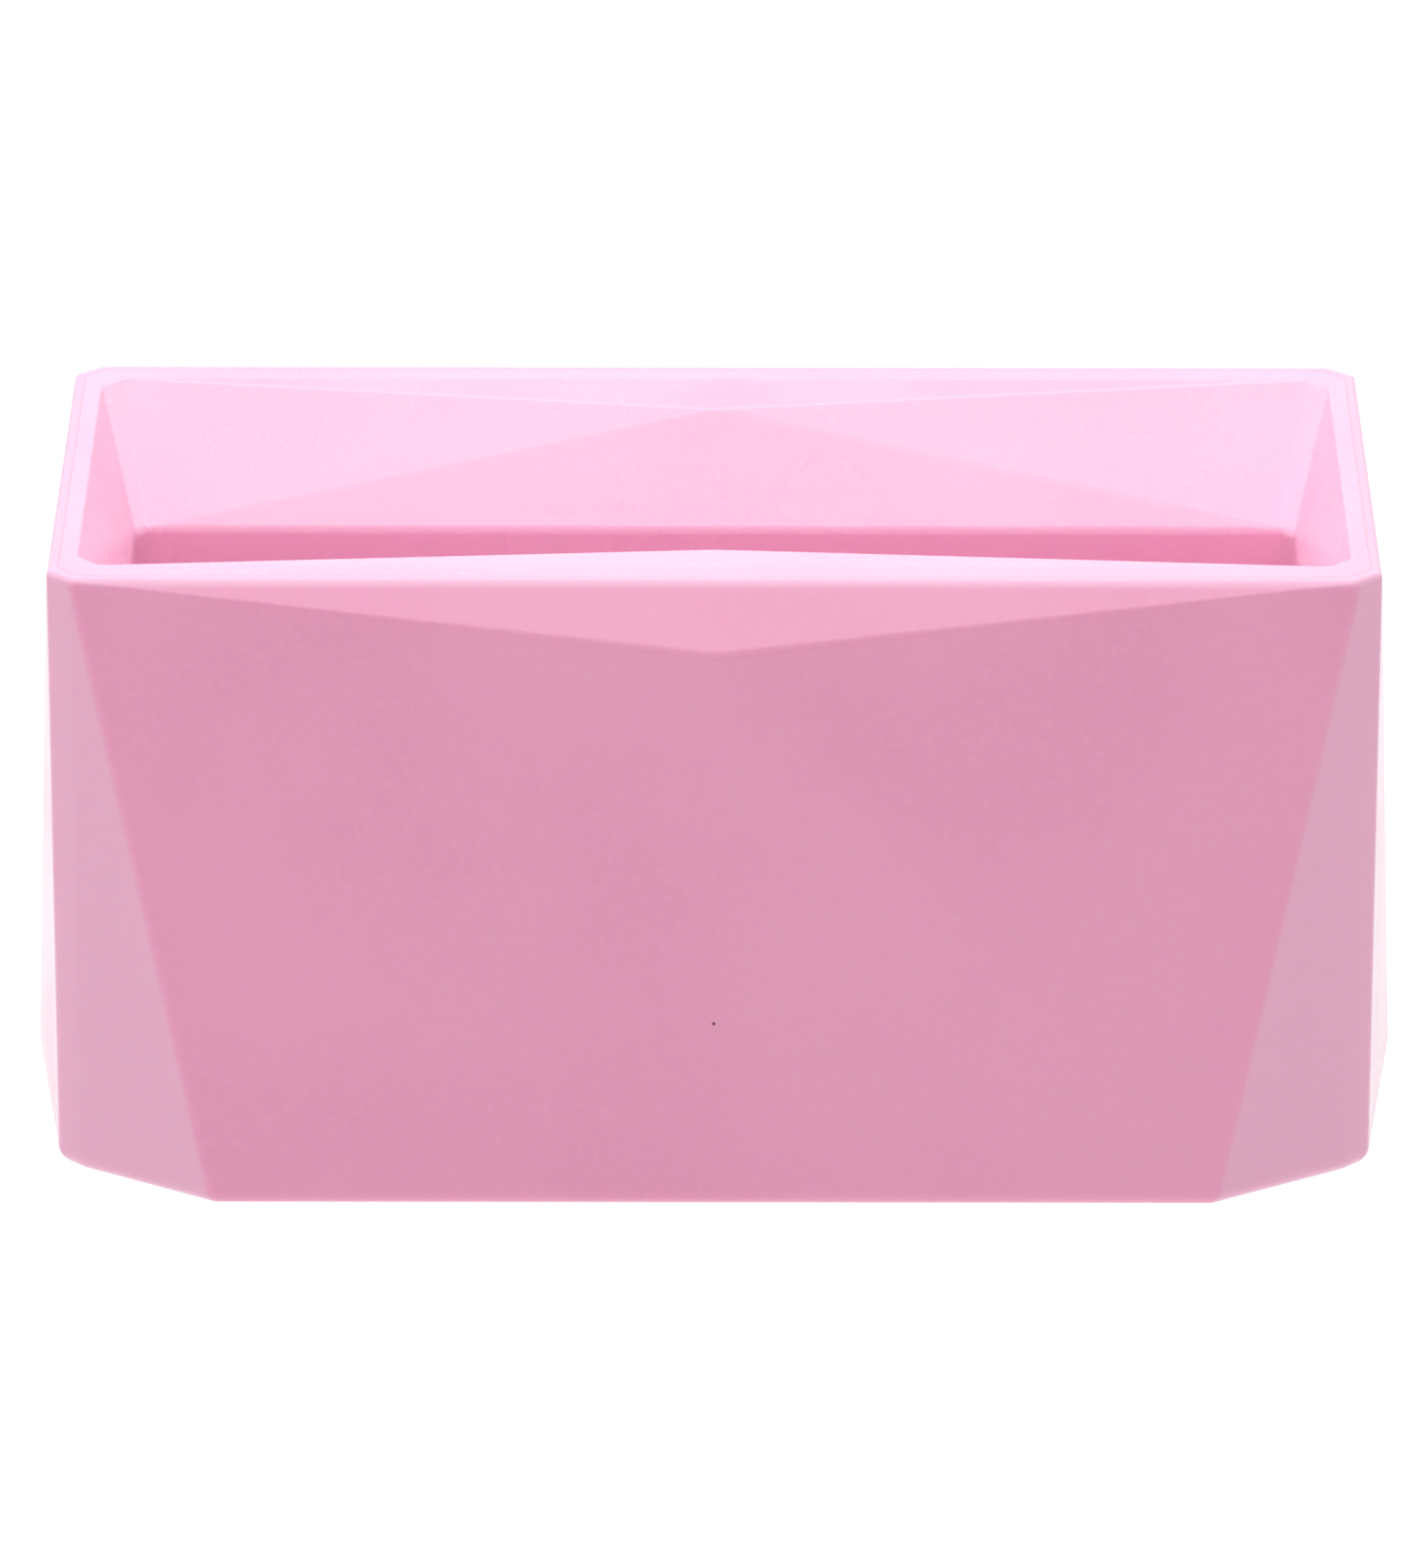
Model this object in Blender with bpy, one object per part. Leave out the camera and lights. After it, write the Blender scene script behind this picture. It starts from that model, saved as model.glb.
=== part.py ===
"""Soap loaf mould: a faceted outer case, a liner that lifts out with the loaf, and a base plate.

Units are metres and +Z is up.  The origin is on the table, under the middle of the mould.
The long side runs along X and the front faces -Y.
"""
import bpy
import bmesh
from mathutils import Vector

# Outer case.  The rim is a long octagon; below it the long sides bulge to a crest under the rim's
# middle and to two feet at the bottom edge, and each end bulges to one point at the bottom edge.
CASE_HEIGHT = 0.1166
RIM_HALF_LENGTH = 0.1200
RIM_HALF_DEPTH = 0.0553
RIM_CORNER = 0.0042
CREST_OUT = 0.0110
CREST_DROP = 0.0103
FOOT_HALF_SPACING = 0.0911
FOOT_OUT = 0.0154
END_OUT = 0.0062
FOOT_CHAMFER = 0.0020
CASE_WALL = 0.0036

# How much a corner's cut and a foot's spacing shrink for each metre that the walls move inwards.
CORNER_SHRINK = 0.586
FOOT_SHRINK = 0.287

# The mouth of the case: a rebate for the liner's flange, with a narrow seat under it.
REBATE_INSET = 0.0020
REBATE_DEPTH = 0.0028
THROAT_INSET = 0.0030
THROAT_DEPTH = 0.0056

# Base plate, pushed up into the case until the walls, which lean in, stop it.
PLATE_THICKNESS = 0.0030
PLATE_RAISE = 0.0010

# Liner.  Its mouth narrows over a pinched crest on each long side down to a ledge, and the loaf
# pocket goes straight down from the ledge.
MOUTH_HALF_LENGTH = 0.1148
MOUTH_HALF_DEPTH = 0.0482
MOUTH_CORNER = 0.0040
PINCH_HALF_DEPTH = 0.0362
PINCH_DROP = 0.0015
LEDGE_HALF_LENGTH = 0.1075
LEDGE_HALF_DEPTH = 0.0175
LEDGE_CORNER = 0.0022
LEDGE_DROP = 0.0184
POCKET_DRAFT = 0.0008
LINER_WALL = 0.0026
LINER_FLOOR = 0.0030
FLANGE_THICKNESS = 0.0025

GAP = 0.0003
OVERSHOOT = 0.0010

CASE_PINK = (0.80, 0.33, 0.50, 1.0)
LINER_PINK = (0.86, 0.36, 0.55, 1.0)
PLATE_PINK = (0.70, 0.30, 0.44, 1.0)


def clear_scene():
    for old in list(bpy.data.objects):
        bpy.data.objects.remove(old, do_unlink=True)


def new_collection(name):
    made = bpy.data.collections.new(name)
    bpy.context.scene.collection.children.link(made)
    return made


def moulded_material(name, colour, roughness):
    material = bpy.data.materials.new(name)
    material.use_nodes = True
    shader = material.node_tree.nodes["Principled BSDF"]
    shader.inputs["Base Color"].default_value = colour
    shader.inputs["Roughness"].default_value = roughness
    shader.inputs["Metallic"].default_value = 0.0
    return material


def octagon(half_x, half_y, corner, z):
    """Eight points of a chamfered rectangle, anticlockwise from the front edge's right end."""
    quarter = [Vector((half_x - corner, -half_y, z)), Vector((half_x, -half_y + corner, z))]
    right = quarter + [Vector((p.x, -p.y, z)) for p in reversed(quarter)]
    return right + [Vector((-p.x, -p.y, z)) for p in right]


def rim_outline(inset, z):
    """The rim's octagon, moved inwards by the inset."""
    return octagon(RIM_HALF_LENGTH - inset, RIM_HALF_DEPTH - inset,
                   RIM_CORNER - CORNER_SHRINK * inset, z)


def foot_outline(inset, z):
    """The case's outline where it is widest, moved inwards by the inset."""
    points = rim_outline(inset, z)
    foot_x = FOOT_HALF_SPACING - FOOT_SHRINK * inset
    foot_y = RIM_HALF_DEPTH + FOOT_OUT - inset
    for side in (-1, 1):
        points.append(Vector((side * (RIM_HALF_LENGTH + END_OUT - inset), 0.0, z)))
        points += [Vector((foot * foot_x, side * foot_y, z)) for foot in (-1, 1)]
    return points


def case_points(inset, top_z, bottom_z):
    """Corner points of the case's faceted form, moved inwards by the inset."""
    points = rim_outline(inset, top_z) + foot_outline(inset, bottom_z)
    crest_y = RIM_HALF_DEPTH + CREST_OUT - inset
    crest_z = CASE_HEIGHT - CREST_DROP - inset
    points += [Vector((0.0, side * crest_y, crest_z)) for side in (-1, 1)]
    return points


def add_object(name, mesh_data, collection):
    mesh = bpy.data.meshes.new(name)
    mesh_data.to_mesh(mesh)
    mesh_data.free()
    made = bpy.data.objects.new(name, mesh)
    collection.objects.link(made)
    return made


def convex_solid(name, points, collection):
    """The convex solid around the points, with its flat facets merged."""
    bm = bmesh.new()
    for point in points:
        bm.verts.new(point)
    bmesh.ops.convex_hull(bm, input=bm.verts)
    bmesh.ops.dissolve_limit(bm, angle_limit=0.001, verts=bm.verts, edges=bm.edges)
    bmesh.ops.recalc_face_normals(bm, faces=bm.faces)
    return add_object(name, bm, collection)


def pinched_loft(name, rings, pinched_band, pinch_y, pinch_z, collection):
    """A solid through octagons from the top down, whose long sides have a pinch point in one band.

    The octagons differ in shape there, so the band's long sides are built as facets around the
    pinch point: one above it, one below it and one at each side.
    """
    bm = bmesh.new()
    loops = [[bm.verts.new(point) for point in ring] for ring in rings]
    bm.faces.new(loops[0])
    bm.faces.new(reversed(loops[-1]))
    for band, (upper, lower) in enumerate(zip(loops, loops[1:])):
        for i in range(8):
            j = (i + 1) % 8
            long_side = i in (3, 7)
            if band == pinched_band and long_side:
                side = -1 if i == 7 else 1
                pinch = bm.verts.new((0.0, side * pinch_y, pinch_z))
                corners = (upper[i], upper[j], lower[j], lower[i])
                for k in range(4):
                    bm.faces.new((corners[k - 1], corners[k], pinch))
            else:
                bm.faces.new((upper[i], upper[j], lower[j], lower[i]))
    bmesh.ops.recalc_face_normals(bm, faces=bm.faces)
    return add_object(name, bm, collection)


def boolean(target, tool, operation, tools):
    """Join the tool to the target or cut it away, and keep the tool as a hidden guide."""
    modifier = target.modifiers.new(operation.title() + " " + tool.name, "BOOLEAN")
    modifier.operation = operation
    modifier.solver = "EXACT"
    modifier.object = tool
    tool.hide_render = True
    tool.display_type = "WIRE"
    for holder in list(tool.users_collection):
        holder.objects.unlink(tool)
    tools.objects.link(tool)


def make_case(parts, tools):
    outside = case_points(0.0, CASE_HEIGHT, FOOT_CHAMFER) + foot_outline(FOOT_CHAMFER, 0.0)
    case = convex_solid("outer_case", outside, parts)
    rebate = octagon(RIM_HALF_LENGTH - REBATE_INSET, RIM_HALF_DEPTH - REBATE_INSET, RIM_CORNER,
                     CASE_HEIGHT - REBATE_DEPTH)
    rebate += [Vector((p.x, p.y, CASE_HEIGHT + OVERSHOOT)) for p in rebate]
    throat = octagon(RIM_HALF_LENGTH - THROAT_INSET, RIM_HALF_DEPTH - THROAT_INSET, RIM_CORNER,
                     CASE_HEIGHT - THROAT_DEPTH - OVERSHOOT)
    throat += [Vector((p.x, p.y, CASE_HEIGHT - OVERSHOOT)) for p in throat]
    cavity = case_points(CASE_WALL, CASE_HEIGHT - THROAT_DEPTH, -OVERSHOOT)
    for name, points in (("rebate", rebate), ("throat", throat), ("cavity", cavity)):
        boolean(case, convex_solid("cut_" + name, points, tools), "DIFFERENCE", tools)
    case.data.materials.append(moulded_material("case_gloss_pink", CASE_PINK, 0.12))
    return case


def make_base_plate(parts, tools):
    """A slice of the case's cavity, with a gap all round."""
    cavity = case_points(CASE_WALL + GAP, CASE_HEIGHT - THROAT_DEPTH, -OVERSHOOT)
    plate = convex_solid("base_plate", cavity, parts)
    slab = octagon(2 * RIM_HALF_LENGTH, 2 * RIM_HALF_DEPTH, RIM_CORNER, PLATE_RAISE)
    slab += [Vector((p.x, p.y, PLATE_RAISE + PLATE_THICKNESS)) for p in slab]
    boolean(plate, convex_solid("keep_slab", slab, tools), "INTERSECT", tools)
    plate.data.materials.append(moulded_material("plate_satin_pink", PLATE_PINK, 0.45))
    return plate


def liner_rings(grow, top_z, mouth_z, ledge_z, floor_z):
    """The mouth, ledge and pocket floor octagons, moved outwards by grow."""
    corner_grow = 0.41 * grow
    mouth = (MOUTH_HALF_LENGTH + grow, MOUTH_HALF_DEPTH + grow, MOUTH_CORNER + corner_grow)
    ledge = (LEDGE_HALF_LENGTH + grow, LEDGE_HALF_DEPTH + grow, LEDGE_CORNER + corner_grow)
    floor = (ledge[0] - POCKET_DRAFT, ledge[1] - POCKET_DRAFT, ledge[2])
    return [octagon(*mouth, top_z), octagon(*mouth, mouth_z),
            octagon(*ledge, ledge_z), octagon(*floor, floor_z)]


def make_liner(parts, tools):
    underside = PLATE_RAISE + PLATE_THICKNESS + GAP
    edge = REBATE_INSET + GAP
    flange = octagon(RIM_HALF_LENGTH - edge, RIM_HALF_DEPTH - edge, RIM_CORNER, CASE_HEIGHT)
    flange += [Vector((p.x, p.y, CASE_HEIGHT - FLANGE_THICKNESS)) for p in flange]
    liner = convex_solid("loaf_liner", flange, parts)

    # The skin starts inside the flange and follows the hollow at one wall thickness.
    skin_top = CASE_HEIGHT - 0.4 * FLANGE_THICKNESS
    skin_rings = liner_rings(LINER_WALL, skin_top, skin_top - 0.2 * FLANGE_THICKNESS,
                             CASE_HEIGHT - LEDGE_DROP - 0.44 * LINER_WALL, underside)
    skin = pinched_loft("join_skin", skin_rings, 1, PINCH_HALF_DEPTH + 0.44 * LINER_WALL,
                        CASE_HEIGHT - PINCH_DROP - 0.95 * LINER_WALL, tools)
    boolean(liner, skin, "UNION", tools)

    hollow_rings = liner_rings(0.0, CASE_HEIGHT + OVERSHOOT, CASE_HEIGHT,
                               CASE_HEIGHT - LEDGE_DROP, underside + LINER_FLOOR)
    hollow = pinched_loft("cut_hollow", hollow_rings, 1, PINCH_HALF_DEPTH,
                          CASE_HEIGHT - PINCH_DROP, tools)
    boolean(liner, hollow, "DIFFERENCE", tools)
    liner.data.materials.append(moulded_material("liner_gloss_pink", LINER_PINK, 0.18))
    return liner


clear_scene()
mould = new_collection("soap_loaf_mould")
guides = new_collection("cutters")
make_case(mould, guides)
make_base_plate(mould, guides)
make_liner(mould, guides)
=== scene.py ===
import math

import bmesh
import bpy
import numpy as np
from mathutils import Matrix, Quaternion, Vector


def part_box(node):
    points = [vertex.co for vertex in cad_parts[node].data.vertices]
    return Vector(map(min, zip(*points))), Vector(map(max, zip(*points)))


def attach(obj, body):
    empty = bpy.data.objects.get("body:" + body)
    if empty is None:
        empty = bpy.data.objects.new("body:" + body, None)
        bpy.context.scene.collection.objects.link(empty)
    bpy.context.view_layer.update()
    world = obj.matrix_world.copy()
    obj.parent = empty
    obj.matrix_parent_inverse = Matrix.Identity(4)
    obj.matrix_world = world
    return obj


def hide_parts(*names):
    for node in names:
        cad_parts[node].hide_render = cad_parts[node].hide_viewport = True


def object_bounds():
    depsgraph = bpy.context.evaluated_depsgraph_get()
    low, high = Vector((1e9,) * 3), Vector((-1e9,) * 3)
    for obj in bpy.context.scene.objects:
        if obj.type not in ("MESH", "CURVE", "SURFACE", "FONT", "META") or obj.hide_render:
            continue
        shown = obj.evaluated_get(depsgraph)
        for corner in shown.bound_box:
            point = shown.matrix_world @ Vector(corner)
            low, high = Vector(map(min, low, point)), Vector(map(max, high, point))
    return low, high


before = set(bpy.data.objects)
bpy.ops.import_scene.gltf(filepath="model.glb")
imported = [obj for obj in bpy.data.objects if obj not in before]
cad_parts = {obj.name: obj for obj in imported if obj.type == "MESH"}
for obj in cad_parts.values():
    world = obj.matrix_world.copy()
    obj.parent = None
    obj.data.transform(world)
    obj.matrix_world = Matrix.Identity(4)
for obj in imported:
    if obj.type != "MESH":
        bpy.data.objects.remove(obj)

cad_low, cad_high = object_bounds()


# --- Outer case ---------------------------------------------------------------------------
# A glossy pink box moulded in one piece, open at the top and the bottom.  Its flat facets meet
# in soft edges, its foot is rounded, and a rebate round the mouth takes the liner's flange.

case_low, case_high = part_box("outer_case")
RIM_RADIUS = 0.0012
FACET_RADIUS = 0.0032
BALL_SUBDIVISIONS = 4
CUTTER_OVERSHOOT = 0.001
SAME_PLACE = 0.00001
SAME_PLANE = math.radians(0.2)
SAME_SKIN_PLANE = math.radians(0.05)
SAME_DIRECTION = 0.999
DIRECTION_DIGITS = 3
SHARP_FROM = math.radians(25.0)
FULL_FACET_WEIGHT = 100

# The gate, where the plastic came into the mould, left a pinhole low on the front.
GATE_HEIGHT_SHARE = 0.3085
PIT_RADIUS = 0.00036
PIT_CENTRE_OUT = 0.00010
PIT_SEGMENTS = 24


def clean_copy(node):
    """A CAD piece's mesh with its triangles joined up and its flat facets whole."""
    bm = bmesh.new()
    bm.from_mesh(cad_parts[node].data)
    bmesh.ops.remove_doubles(bm, verts=bm.verts, dist=SAME_PLACE)
    bmesh.ops.dissolve_limit(bm, angle_limit=SAME_PLANE, verts=bm.verts, edges=bm.edges)
    return bm


def outermost_planes(bm):
    """A point and the normal of each facet that has the whole piece behind it."""
    planes = [(face.verts[0].co.copy(), face.normal.copy()) for face in bm.faces]
    return [(point, normal) for point, normal in planes
            if all((v.co - point).dot(normal) < SAME_PLACE for v in bm.verts)]


def object_of(name, bm):
    """An object in the scene with this mesh."""
    mesh = bpy.data.meshes.new(name)
    bm.to_mesh(mesh)
    bm.free()
    made = bpy.data.objects.new(name, mesh)
    bpy.context.scene.collection.objects.link(made)
    return made


def evaluated(name, source):
    """A new object with the source's mesh as its modifiers leave it; the source is removed."""
    ready = source.evaluated_get(bpy.context.evaluated_depsgraph_get())
    made = bpy.data.objects.new(name, bpy.data.meshes.new_from_object(ready))
    made.data.name = name
    bpy.context.scene.collection.objects.link(made)
    bpy.data.objects.remove(source, do_unlink=True)
    return made


def cut_away(piece, cutter):
    """Cuts the cutter out of the piece when its modifiers are next evaluated."""
    cut = piece.modifiers.new("cut " + cutter.name, "BOOLEAN")
    cut.operation = "DIFFERENCE"
    cut.solver = "EXACT"
    cut.object = cutter


def shade_facets_flat(piece, keep_sharp=False):
    """Shades large facets as flat right up to their rounded edges."""
    shading = piece.modifiers.new("flat facets", "WEIGHTED_NORMAL")
    shading.mode = "FACE_AREA"
    shading.weight = FULL_FACET_WEIGHT
    shading.keep_sharp = keep_sharp


def ball_centre(corner, facing, radius):
    """The centre of a ball set into a corner: it stays behind all of the planes that meet there,
    and it touches a level one exactly."""
    level = [normal for normal in facing if abs(normal.z) > SAME_DIRECTION]
    sides = np.array([normal for normal in facing if abs(normal.z) <= SAME_DIRECTION])
    if level:
        drop = -radius * math.copysign(1.0, level[0].z)
        wanted = -radius - sides[:, 2] * drop
        inward = np.linalg.lstsq(sides[:, :2], wanted, rcond=None)[0]
        inward *= np.max(wanted / (sides[:, :2] @ inward))
        return corner + Vector((inward[0], inward[1], drop))
    inward = np.linalg.lstsq(sides, -np.ones(len(sides)), rcond=None)[0]
    inward /= np.min(-sides @ inward)
    return corner + radius * Vector(inward)


def ball_directions():
    """Directions spread evenly all round, from the corners of a small ball."""
    ball = bmesh.new()
    bmesh.ops.create_icosphere(ball, subdivisions=BALL_SUBDIVISIONS, radius=1.0)
    directions = [v.co.copy() for v in ball.verts]
    ball.free()
    return directions


def rolled_outside(bm, radius_of):
    """The piece's outside with every edge rolled round: a skin stretched over a ball set into
    each corner, so that the ball touches the flat facets that meet there."""
    planes = outermost_planes(bm)
    directions = ball_directions()
    skin = bmesh.new()
    for v in bm.verts:
        facing = [normal for point, normal in planes if (v.co - point).dot(normal) > -SAME_PLACE]
        distinct = {tuple(round(part, DIRECTION_DIGITS) for part in normal) for normal in facing}
        is_corner = len(distinct) >= 3
        if is_corner:
            radius = radius_of(v.co)
            centre = ball_centre(v.co, facing, radius)
            for direction in directions + facing:
                skin.verts.new(centre + radius * direction)
    hull = bmesh.ops.convex_hull(skin, input=skin.verts, use_existing_faces=False)
    spare = {item for item in hull["geom_interior"] + hull["geom_unused"]
             if isinstance(item, bmesh.types.BMVert)}
    bmesh.ops.delete(skin, geom=list(spare), context="VERTS")
    bmesh.ops.dissolve_limit(skin, angle_limit=SAME_SKIN_PLANE, verts=skin.verts, edges=skin.edges)
    return skin


def hollow_cutter(bm):
    """The piece's hollow as a solid that sticks out a little at both of its openings."""
    planes = outermost_planes(bm)
    hollow = bm.copy()
    outer = [face for face in hollow.faces
             if any((face.calc_center_median() - point).dot(normal) > -SAME_PLACE
                    and face.normal.dot(normal) > SAME_DIRECTION for point, normal in planes)]
    bmesh.ops.delete(hollow, geom=outer, context="FACES")
    openings = [edge for edge in hollow.edges if edge.is_boundary]
    grown = bmesh.ops.extrude_edge_only(hollow, edges=openings)["geom"]
    middle_z = 0.5 * (case_low.z + case_high.z)
    for item in grown:
        if isinstance(item, bmesh.types.BMVert):
            item.co.z += math.copysign(CUTTER_OVERSHOOT, item.co.z - middle_z)
    bmesh.ops.holes_fill(hollow, edges=[e for e in hollow.edges if e.is_boundary], sides=0)
    bmesh.ops.recalc_face_normals(hollow, faces=hollow.faces)
    return hollow


def round_cutter(name, centre, radius):
    """A small ball that cuts a pit."""
    bm = bmesh.new()
    bmesh.ops.create_uvsphere(bm, u_segments=PIT_SEGMENTS, v_segments=PIT_SEGMENTS // 2,
                              radius=radius)
    bmesh.ops.translate(bm, vec=centre, verts=bm.verts)
    return object_of(name, bm)


case_mesh = clean_copy("outer_case")
case_corners = [v.co.copy() for v in case_mesh.verts]
front_foot = min(case_corners, key=lambda corner: corner.y)
front_crest = min((c for c in case_corners if c.z > case_high.z / 2), key=lambda corner: corner.y)
rim_corner = max((c for c in case_corners if c.z > case_high.z - SAME_PLACE),
                 key=lambda corner: corner.x - corner.y)
gate_z = GATE_HEIGHT_SHARE * case_high.z
gate_y = front_foot.y + (front_crest.y - front_foot.y) * (
    (gate_z - front_foot.z) / (front_crest.z - front_foot.z))
gate = Vector((0.0, gate_y, gate_z))


def corner_radius(corner):
    """How big a ball rolls round the case's edges at a corner."""
    return RIM_RADIUS if corner.z > case_high.z - SAME_PLACE else FACET_RADIUS


case_body = object_of("case_body", rolled_outside(case_mesh, corner_radius))
case_body.data.shade_smooth()
case_hollow = object_of("case_hollow", hollow_cutter(case_mesh))
gate_pit = round_cutter("gate_pit", gate - Vector((0.0, PIT_CENTRE_OUT, 0.0)), PIT_RADIUS)
cut_away(case_body, case_hollow)
cut_away(case_body, gate_pit)
case_cut = evaluated("case_cut", case_body)
case_cut.data.set_sharp_from_angle(angle=SHARP_FROM)
shade_facets_flat(case_cut, keep_sharp=True)
case = evaluated("case_shell", case_cut)
for cutter in (case_hollow, gate_pit):
    bpy.data.objects.remove(cutter, do_unlink=True)


class Wire:
    """A shader socket that takes arithmetic: each sign adds the Math node that works it out."""

    def __init__(self, tree, socket=None):
        self.tree = tree
        self.socket = socket

    def node(self, kind, settings=None, inputs=None, output=0):
        """Adds a node, gives it its settings, and then feeds its sockets."""
        made = self.tree.nodes.new(kind)
        for name, value in (settings or {}).items():
            setattr(made, name, value)
        for name, value in (inputs or {}).items():
            if isinstance(value, Wire):
                self.tree.links.new(value.socket, made.inputs[name])
            else:
                made.inputs[name].default_value = value
        return Wire(self.tree, made.outputs[output] if made.outputs else None)

    def result_of(self, operation, *values):
        return self.node("ShaderNodeMath", {"operation": operation}, dict(enumerate(values)))

    def __add__(self, other):
        return self.result_of("ADD", self, other)

    def __radd__(self, other):
        return self.result_of("ADD", other, self)

    def __sub__(self, other):
        return self.result_of("SUBTRACT", self, other)

    def __rsub__(self, other):
        return self.result_of("SUBTRACT", other, self)

    def __mul__(self, other):
        return self.result_of("MULTIPLY", self, other)

    def __rmul__(self, other):
        return self.result_of("MULTIPLY", other, self)

    def __abs__(self):
        return self.result_of("ABSOLUTE", self)

    def eased(self, low, high, to_low=0.0, to_high=1.0):
        """Goes smoothly from to_low to to_high as this value goes from low to high."""
        return self.node("ShaderNodeMapRange", {"clamp": True, "interpolation_type": "SMOOTHSTEP"},
                         {"Value": self, "From Min": low, "From Max": high,
                          "To Min": to_low, "To Max": to_high})


def blank_material(name):
    """An empty node material, and the wire that its nodes are made from."""
    material = bpy.data.materials.new(name)
    material.use_nodes = True
    material.node_tree.nodes.clear()
    return material, Wire(material.node_tree)


def mixed(wire, factor, first, second):
    """Two colours mixed by a factor."""
    return wire.node("ShaderNodeMix", {"data_type": "RGBA", "blend_type": "MIX"},
                     {"Factor": factor, 6: first, 7: second}, output=2)


def cloudiness(wire, place, size, detail=3.0):
    """Soft noise from 0 to 1 whose patches are about the given size."""
    return wire.node("ShaderNodeTexNoise", {"noise_dimensions": "3D"},
                     {"Vector": place, "Scale": 1.0 / size, "Detail": detail, "Roughness": 0.5})


NOISE_MIDDLE = 0.5
CLOUD_SIZE = 0.055
CLOUD_BAND = (0.35, 0.65)
GRAIN_SIZE = 0.0016
GRAIN_BAND = (0.45, 0.75)
GRAIN_TINT = 0.35
GRAIN_DULLS = 0.02
GRAIN_HEIGHT = 0.00002
GRAIN_STRENGTH = 0.05
HANDLED_SIZE = 0.030
HANDLED_BAND = (0.40, 0.70)
HANDLING_DULLS = 0.06
FLOW_SIZE = 0.020
FLOW_HEIGHT = 0.00015
FLOW_STRENGTH = 0.25
PLASTIC_IOR = 1.5


def gloss_plastic(name, base, deep, pale, shine, glow, glow_reach, marks=None):
    """Smooth moulded plastic: a slightly uneven colour, soft flow waves and a handled gloss."""
    material, wire = blank_material(name)
    place = wire.node("ShaderNodeTexCoord", output=3)
    clouds = cloudiness(wire, place, CLOUD_SIZE)
    grain = cloudiness(wire, place, GRAIN_SIZE, detail=2.0)
    handled = cloudiness(wire, place, HANDLED_SIZE, detail=4.0)
    flow = cloudiness(wire, place, FLOW_SIZE, detail=1.0)

    colour = mixed(wire, clouds.eased(*CLOUD_BAND), deep, base)
    colour = mixed(wire, grain.eased(*GRAIN_BAND, 0.0, GRAIN_TINT), colour, pale)
    roughness = handled.eased(*HANDLED_BAND, shine, shine + HANDLING_DULLS)
    roughness = roughness + (grain - NOISE_MIDDLE) * GRAIN_DULLS
    if marks:
        colour, roughness = marks(wire, place, colour, roughness)
    waves = wire.node("ShaderNodeBump", None,
                      {"Strength": FLOW_STRENGTH, "Distance": FLOW_HEIGHT, "Height": flow})
    skin = wire.node("ShaderNodeBump", None,
                     {"Strength": GRAIN_STRENGTH, "Distance": GRAIN_HEIGHT, "Height": grain,
                      "Normal": waves})
    shader = wire.node("ShaderNodeBsdfPrincipled", None,
                       {"Base Color": colour, "Roughness": roughness, "Normal": skin,
                        "IOR": PLASTIC_IOR, "Subsurface Weight": glow,
                        "Subsurface Radius": glow_reach, "Subsurface Scale": 1.0})
    wire.node("ShaderNodeOutputMaterial", None, {"Surface": shader})
    return material


CASE_PINK = (0.820, 0.340, 0.512, 1.0)
CASE_PINK_DEEP = (0.800, 0.318, 0.493, 1.0)
CASE_PINK_PALE = (0.833, 0.366, 0.534, 1.0)
CASE_SHINE = 0.13
CASE_GLOW = 0.25
THICK_WALL_GLOW_REACH = (0.006, 0.002, 0.003)
# Painted sheen: the corner facets and the ends are painted a paler pink that stands in for the
# lights they reflect.
CORNER_PAINTED_SHEEN_PINK = (0.805, 0.410, 0.568, 1.0)
CORNER_SHEEN_FADE = 0.0012
CORNER_SHEEN_FADE_FROM = -0.3 * CORNER_SHEEN_FADE
# Painted light: the top of the rim is painted a paler pink that stands in for light shining through
# the thin rim.
RIM_PAINTED_LIGHT_PINK = (0.975, 0.510, 0.700, 1.0)
RIM_PAINTED_LIGHT_DEPTH = 0.0016
RIM_PAINTED_LIGHT_FULL_AT = 0.1 * RIM_PAINTED_LIGHT_DEPTH
# Painted shade: the gate's pit is painted dark to stand in for the shade inside it.
PIT_PAINTED_SHADE = (0.33, 0.11, 0.18, 1.0)
PIT_SHADE_FULL_TO = 0.8 * PIT_RADIUS
PIT_SHADE_GONE_AT = 1.1 * PIT_RADIUS
WELD_HALF_WIDTH = 0.0022
WELD_STRENGTH = 0.30
WELD_DULLS = 0.05
WELD_WANDER = 0.0016
WELD_BEND_SIZE = 0.012
WELD_FADE_BELOW_GATE = 0.004
FRONT_WALL_FROM = -0.060
FRONT_WALL_TO = -0.050


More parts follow.
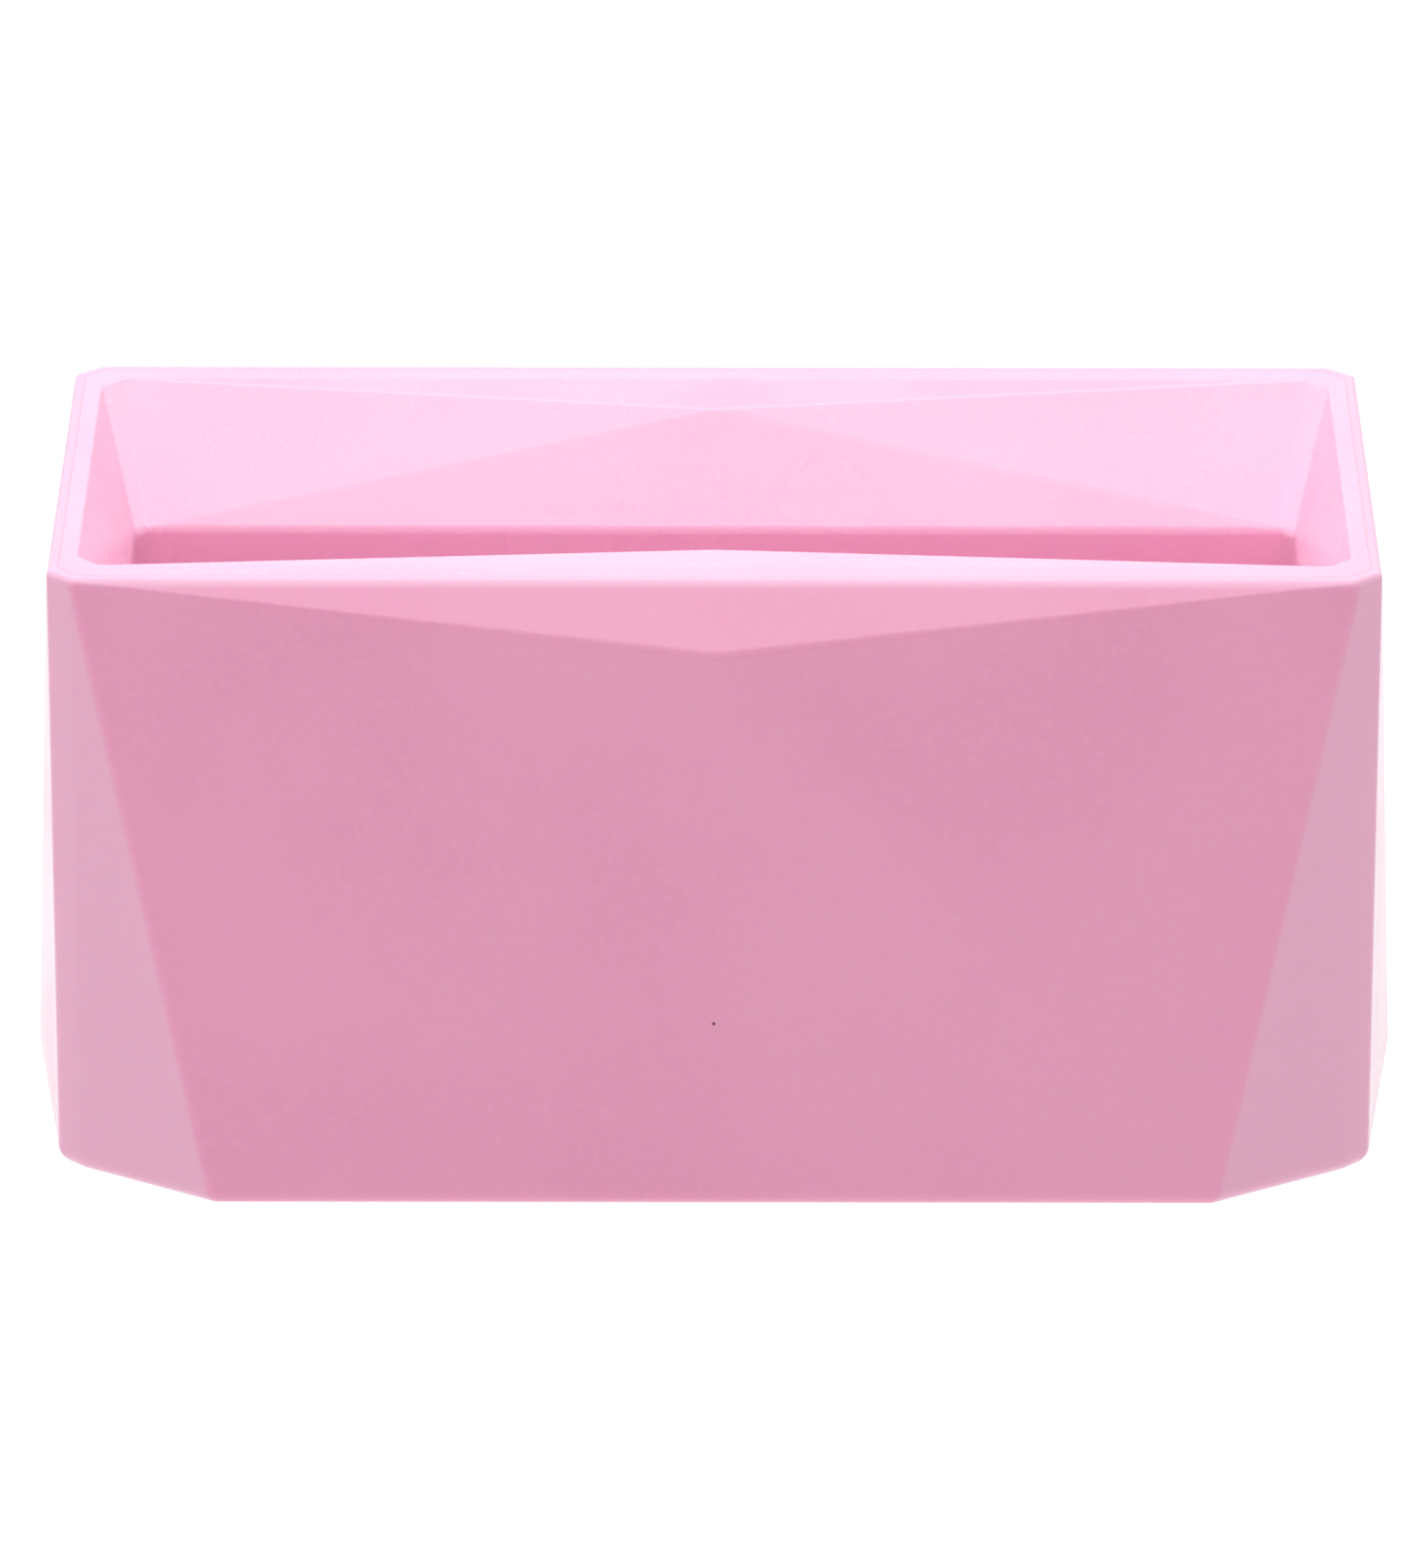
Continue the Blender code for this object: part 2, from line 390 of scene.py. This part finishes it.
def case_weld_and_painted_light(wire, place, colour, roughness):
    """Painted light on the case: a painted sheen on the corner facets and ends, painted light on
    the rim, painted shade darkening the gate's pit, and the weld line below the gate.
    """
    along, depth, height = (wire.node("ShaderNodeSeparateXYZ", None, {0: place}, output=axis)
                            for axis in range(3))
    foot_x = abs(front_foot.x)
    crease = height * ((rim_corner.x - foot_x) / case_high.z) + foot_x
    # Painted sheen: the corner facets and ends are painted paler.
    corner = (abs(along) - crease).eased(CORNER_SHEEN_FADE_FROM, CORNER_SHEEN_FADE)
    colour = mixed(wire, corner, colour, CORNER_PAINTED_SHEEN_PINK)
    # Painted light: the rim's top is painted paler.
    rim_painted_light = height.eased(case_high.z - RIM_PAINTED_LIGHT_DEPTH, case_high.z - RIM_PAINTED_LIGHT_FULL_AT)
    colour = mixed(wire, rim_painted_light, colour, RIM_PAINTED_LIGHT_PINK)

    wander = (cloudiness(wire, place, WELD_BEND_SIZE) - NOISE_MIDDLE) * WELD_WANDER
    weld = abs(along + wander).eased(0.0, WELD_HALF_WIDTH, WELD_STRENGTH, 0.0)
    weld = weld * height.eased(gate.z - WELD_FADE_BELOW_GATE, gate.z, 1.0, 0.0)
    weld = weld * depth.eased(FRONT_WALL_FROM, FRONT_WALL_TO, 1.0, 0.0)
    colour = mixed(wire, weld, colour, CASE_PINK_DEEP)

    # Painted shade: the pit is painted dark.
    from_gate = wire.node("ShaderNodeVectorMath", {"operation": "DISTANCE"},
                          {0: place, 1: gate}, output=1)
    pit_shade = from_gate.eased(PIT_SHADE_FULL_TO, PIT_SHADE_GONE_AT, 1.0, 0.0)
    return mixed(wire, pit_shade, colour, PIT_PAINTED_SHADE), roughness + weld * WELD_DULLS


case.data.materials.append(gloss_plastic(
    "case_gloss_pink", CASE_PINK, CASE_PINK_DEEP, CASE_PINK_PALE, shine=CASE_SHINE,
    glow=CASE_GLOW, glow_reach=THICK_WALL_GLOW_REACH, marks=case_weld_and_painted_light))
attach(case, "case")
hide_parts("outer_case")


# --- Base plate ---------------------------------------------------------------------------
# A satin pink plate pushed up into the open bottom until the case's leaning walls stop it.
# Its underside has shallow round pads where the ejector pins pushed it out of the mould.

plate_low, plate_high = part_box("base_plate")
PLATE_SOFTENING = 0.0004
SOFTENING_SEGMENTS = 5
PLATE_SHARP_FROM = math.radians(30.0)
EJECTOR_DIAMETER = 0.007
EJECTOR_DEPTH = 0.00025
EJECTOR_SEGMENTS = 40
EJECTOR_COLUMNS = 5
EJECTOR_ROWS = 2
EJECTOR_SPREAD_X = 0.72 * (plate_high.x - plate_low.x)
EJECTOR_SPREAD_Y = 0.60 * (plate_high.y - plate_low.y)
PLATE_PINK_DEEP = (0.83, 0.33, 0.50, 1.0)
PLATE_SHINE = 0.38
PLATE_GLOW = 0.15


def softened(name, bm, width_of, widest):
    """A piece whose edges are rounded as width_of says, and whose flat outside stays flat."""
    planes = outermost_planes(bm)
    weight = bm.edges.layers.float.new("bevel_weight_edge")
    for edge in bm.edges:
        if edge.calc_face_angle(0.0) > SAME_PLANE:
            edge[weight] = width_of(edge) / widest
    sharp = object_of(name + "_sharp", bm)
    sharp.data.materials.clear()
    sharp.data.shade_smooth()
    bevel = sharp.modifiers.new("rounded edges", "BEVEL")
    bevel.limit_method = "WEIGHT"
    bevel.offset_type = "OFFSET"
    bevel.width = widest
    bevel.segments = SOFTENING_SEGMENTS
    bevel.use_clamp_overlap = False

    rounded = evaluated(name + "_rounded", sharp)
    for v in rounded.data.vertices:
        for point, normal in planes:
            proud = (v.co - point).dot(normal)
            if proud > 0.0:
                v.co -= proud * normal
    shade_facets_flat(rounded)
    return evaluated(name, rounded)


def ejector_marks_tree():
    """Sinks a grid of shallow round pads, left by the ejector pins, into the face of a plate."""
    tree = bpy.data.node_groups.new("ejector_marks", "GeometryNodeTree")
    face = tree.interface
    face.new_socket("Plate", in_out="INPUT", socket_type="NodeSocketGeometry")
    for label in ("Face Height", "Pad Diameter", "Pad Depth", "Spread X", "Spread Y"):
        face.new_socket(label, in_out="INPUT", socket_type="NodeSocketFloat")
    for label in ("Columns", "Rows"):
        face.new_socket(label, in_out="INPUT", socket_type="NodeSocketInt")
    face.new_socket("Finish", in_out="INPUT", socket_type="NodeSocketMaterial")
    face.new_socket("Plate", in_out="OUTPUT", socket_type="NodeSocketGeometry")

    wire = Wire(tree)
    given = tree.nodes.new("NodeGroupInput")

    def take(label):
        return Wire(tree, given.outputs[label])

    spots = wire.node("GeometryNodeMeshGrid", None,
                      {"Size X": take("Spread X"), "Size Y": take("Spread Y"),
                       "Vertices X": take("Columns"), "Vertices Y": take("Rows")})
    height = wire.node("ShaderNodeCombineXYZ", None, {"Z": take("Face Height")})
    spots = wire.node("GeometryNodeTransform", None, {"Geometry": spots, "Translation": height})
    pad = wire.node("GeometryNodeMeshCylinder", None,
                    {"Vertices": EJECTOR_SEGMENTS, "Radius": take("Pad Diameter") * 0.5,
                     "Depth": take("Pad Depth") * 2.0})
    pads = wire.node("GeometryNodeInstanceOnPoints", None, {"Points": spots, "Instance": pad})
    pads = wire.node("GeometryNodeRealizeInstances", None, {"Geometry": pads})
    cut = wire.node("GeometryNodeMeshBoolean", {"operation": "DIFFERENCE"},
                    {"Mesh 1": take("Plate"), "Mesh 2": pads})
    whole = wire.node("GeometryNodeRealizeInstances", None, {"Geometry": cut})
    finished = wire.node("GeometryNodeSetMaterial", None,
                         {"Geometry": whole, "Material": take("Finish")})
    result = tree.nodes.new("NodeGroupOutput")
    tree.links.new(finished.socket, result.inputs["Plate"])
    return tree


def with_ejector_marks(name, piece, finish):
    """The plate with its ejector marks, as a plain mesh."""
    tree = ejector_marks_tree()
    modifier = piece.modifiers.new("ejector marks", "NODES")
    modifier.node_group = tree
    given = {"Face Height": plate_low.z, "Pad Diameter": EJECTOR_DIAMETER,
             "Pad Depth": EJECTOR_DEPTH, "Spread X": EJECTOR_SPREAD_X,
             "Spread Y": EJECTOR_SPREAD_Y, "Columns": EJECTOR_COLUMNS,
             "Rows": EJECTOR_ROWS, "Finish": finish}
    for item in tree.interface.items_tree:
        if item.in_out == "INPUT" and item.name in given:
            modifier[item.identifier] = given[item.name]
    made = evaluated(name, piece)
    made.data.set_sharp_from_angle(angle=PLATE_SHARP_FROM)
    return made


plate_blank = softened("plate_blank", clean_copy("base_plate"),
                       lambda edge: PLATE_SOFTENING, PLATE_SOFTENING)
plate_finish = gloss_plastic(
    "plate_satin_pink", CASE_PINK_DEEP, PLATE_PINK_DEEP, CASE_PINK, shine=PLATE_SHINE,
    glow=PLATE_GLOW, glow_reach=THICK_WALL_GLOW_REACH)
plate = with_ejector_marks("bottom_plate", plate_blank, plate_finish)
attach(plate, "case")
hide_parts("base_plate")


# --- Loaf liner ---------------------------------------------------------------------------
# A glossy pink silicone moulding that lifts out with the loaf: a flange that fills the case's
# rebate, a faceted funnel down to a ledge, and the straight loaf pocket below it.

liner_low, liner_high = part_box("loaf_liner")
FLANGE_CLOSING = 0.00028
FLANGE_DEPTH = 0.0030
FLANGE_SOFTENING = 0.00004
MOUTH_SOFTENING = 0.0004
FUNNEL_SOFTENING = 0.0005
LEDGE_SOFTENING = 0.0011
FLOOR_SOFTENING = 0.0015
FLOOR_ZONE = 0.010
# Painted light: the liner's pinks are paler than the case's and stand in for the brighter light
# that falls inside the mouth.
LINER_LIT_PINK = (0.990, 0.535, 0.725, 1.0)
LINER_LIT_PINK_DEEP = (0.985, 0.510, 0.705, 1.0)
LINER_LIT_PINK_PALE = (0.992, 0.560, 0.745, 1.0)
LINER_SHINE = 0.24
LINER_GLOW = 0.15
THIN_WALL_GLOW_REACH = (0.003, 0.0012, 0.0016)


def liner_copy_with_widths():
    """The liner's clean mesh with its flange closed up to the case, and its edges' widths."""
    bm = clean_copy("loaf_liner")
    bm.verts.index_update()
    flange_low = liner_high.z - FLANGE_DEPTH
    flange = set()
    for v in bm.verts:
        reach_x = abs(v.co.x) > liner_high.x - SAME_PLACE
        reach_y = abs(v.co.y) > liner_high.y - SAME_PLACE
        if v.co.z > flange_low and (reach_x or reach_y):
            flange.add(v.index)
            v.co.x += math.copysign(FLANGE_CLOSING, v.co.x)
            v.co.y += math.copysign(FLANGE_CLOSING, v.co.y)

    def width_of(edge):
        a, b = edge.verts
        low, high = min(a.co.z, b.co.z), max(a.co.z, b.co.z)
        on_pinch = min(abs(a.co.x), abs(b.co.x)) < SAME_PLACE
        if low > flange_low and not on_pinch:
            mouth = low > liner_high.z - SAME_PLACE and not (a.index in flange or b.index in flange)
            return MOUTH_SOFTENING if mouth else FLANGE_SOFTENING
        if high < liner_low.z + FLOOR_ZONE:
            return FLOOR_SOFTENING
        if high - low < SAME_PLACE:
            return LEDGE_SOFTENING
        return FUNNEL_SOFTENING

    return bm, width_of


liner_mesh, liner_width = liner_copy_with_widths()
liner = softened("liner_moulding", liner_mesh, liner_width, FLOOR_SOFTENING)
liner.data.materials.append(gloss_plastic(
    "liner_gloss_pink", LINER_LIT_PINK, LINER_LIT_PINK_DEEP, LINER_LIT_PINK_PALE, shine=LINER_SHINE,
    glow=LINER_GLOW, glow_reach=THIN_WALL_GLOW_REACH))
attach(liner, "liner")
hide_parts("loaf_liner")


# --- Studio -------------------------------------------------------------------------------
# The mould stands on a lit white table inside a ring of soft panels, most of them high up or
# behind it, in an otherwise dim room.  None of these belongs to the object.

WHITE = (1.0, 1.0, 1.0, 1.0)
TABLE_LENGTH = 6.0
TABLE_GLOW = 1.0
TABLE_GREY = (0.1, 0.1, 0.1, 1.0)
TABLE_CLEARANCE = 0.0002
PANEL_DISTANCE = 2.0
ROOM_GLOW = 0.10
BACKDROP_GLOW = 1.0

# Each panel's name, turn from straight behind, tilt above the table, width, height, brightness.
PANELS = (
    ("behind_high", 0.0, 60.0, 2.4, 1.3, 2.5),
    ("behind_low", 0.0, 17.0, 2.4, 1.0, 0.85),
    ("behind_left", -45.0, 25.0, 1.2, 1.4, 1.6),
    ("behind_right", 45.0, 25.0, 1.2, 1.4, 1.5),
    ("left", -90.0, 25.0, 1.4, 1.4, 1.7),
    ("right", 90.0, 25.0, 1.4, 1.4, 0.8),
    ("overhead", 0.0, 90.0, 1.4, 0.8, 2.4),
    ("overhead_front", 180.0, 66.0, 1.6, 1.0, 2.25),
    ("front_high", 180.0, 42.0, 1.6, 0.8, 1.0),
    ("front_low", 180.0, 17.0, 1.6, 0.7, 1.0),
)


def lit_acrylic(name, strength, face_colour):
    """Translucent acrylic lit from behind."""
    material, wire = blank_material(name)
    light = wire.node("ShaderNodeEmission", None, {"Color": WHITE, "Strength": strength})
    face = wire.node("ShaderNodeBsdfDiffuse", None, {"Color": face_colour})
    both = wire.node("ShaderNodeAddShader", None, {0: light, 1: face})
    wire.node("ShaderNodeOutputMaterial", None, {"Surface": both})
    return material


table_top = bmesh.new()
bmesh.ops.create_grid(table_top, x_segments=1, y_segments=1, size=TABLE_LENGTH / 2)
bmesh.ops.translate(table_top, vec=(0, 0, cad_low.z - TABLE_CLEARANCE), verts=table_top.verts)
table = object_of("studio_table", table_top)
table.data.materials.append(lit_acrylic("lit_white_acrylic", TABLE_GLOW, TABLE_GREY))


def soft_panel(name, turn, tilt, width, height, brightness):
    """A soft light panel on a dome round the mould, so many times as bright as the table."""
    light = bpy.data.lights.new(name + "_panel", "AREA")
    light.shape = "RECTANGLE"
    light.size = width
    light.size_y = height
    light.energy = brightness * math.pi * width * height
    out = Vector((math.sin(turn) * math.cos(tilt), math.cos(turn) * math.cos(tilt),
                  math.sin(tilt)))
    made = bpy.data.objects.new(name + "_panel", light)
    made.location = Vector((0.0, 0.0, case_high.z / 2)) + PANEL_DISTANCE * out
    made.rotation_euler = out.to_track_quat("Z", "Y").to_euler()
    made.visible_camera = False
    bpy.context.scene.collection.objects.link(made)


for panel_name, turn, tilt, width, height, brightness in PANELS:
    soft_panel(panel_name, math.radians(turn), math.radians(tilt), width, height, brightness)

# The room is dim, but what the lens sees past the table's edge is as white as the table.
room = bpy.data.worlds.new("dim_room")
room.use_nodes = True
room.node_tree.nodes.clear()
wire = Wire(room.node_tree)
seen = wire.node("ShaderNodeLightPath", output=0)
surround = wire.node("ShaderNodeBackground", None,
                     {"Color": WHITE, "Strength": seen * (BACKDROP_GLOW - ROOM_GLOW) + ROOM_GLOW})
wire.node("ShaderNodeOutputWorld", None, {"Surface": surround})
bpy.context.scene.world = room
bpy.context.scene.view_settings.view_transform = "Standard"

LENS = 271.6
SENSOR_WIDTH = 36.0
SIGHT_LIMIT = 20.0
CAMERA_DISTANCE = 2.195
CAMERA_PITCH = math.radians(22.3)
CAMERA_TURN = math.radians(0.07)
CAMERA_ROLL = math.radians(0.055)
CAMERA_AIM = Vector((-0.00035, 0.0, case_high.z - 0.0622))
UPRIGHT = Vector((0.0, 0.0, 1.0))

camera_data = bpy.data.cameras.new("studio_camera")
camera_data.sensor_width = SENSOR_WIDTH
camera_data.lens = LENS
camera_data.clip_end = SIGHT_LIMIT
camera = bpy.data.objects.new("studio_camera", camera_data)
back = Vector((0.0, -math.cos(CAMERA_PITCH), math.sin(CAMERA_PITCH)))
back.rotate(Quaternion(UPRIGHT, CAMERA_TURN))
camera.location = CAMERA_AIM + CAMERA_DISTANCE * back
roll = Quaternion(UPRIGHT, CAMERA_ROLL)
camera.rotation_euler = (back.to_track_quat("Z", "Y") @ roll).to_euler()
bpy.context.scene.collection.objects.link(camera)
bpy.context.scene.camera = camera
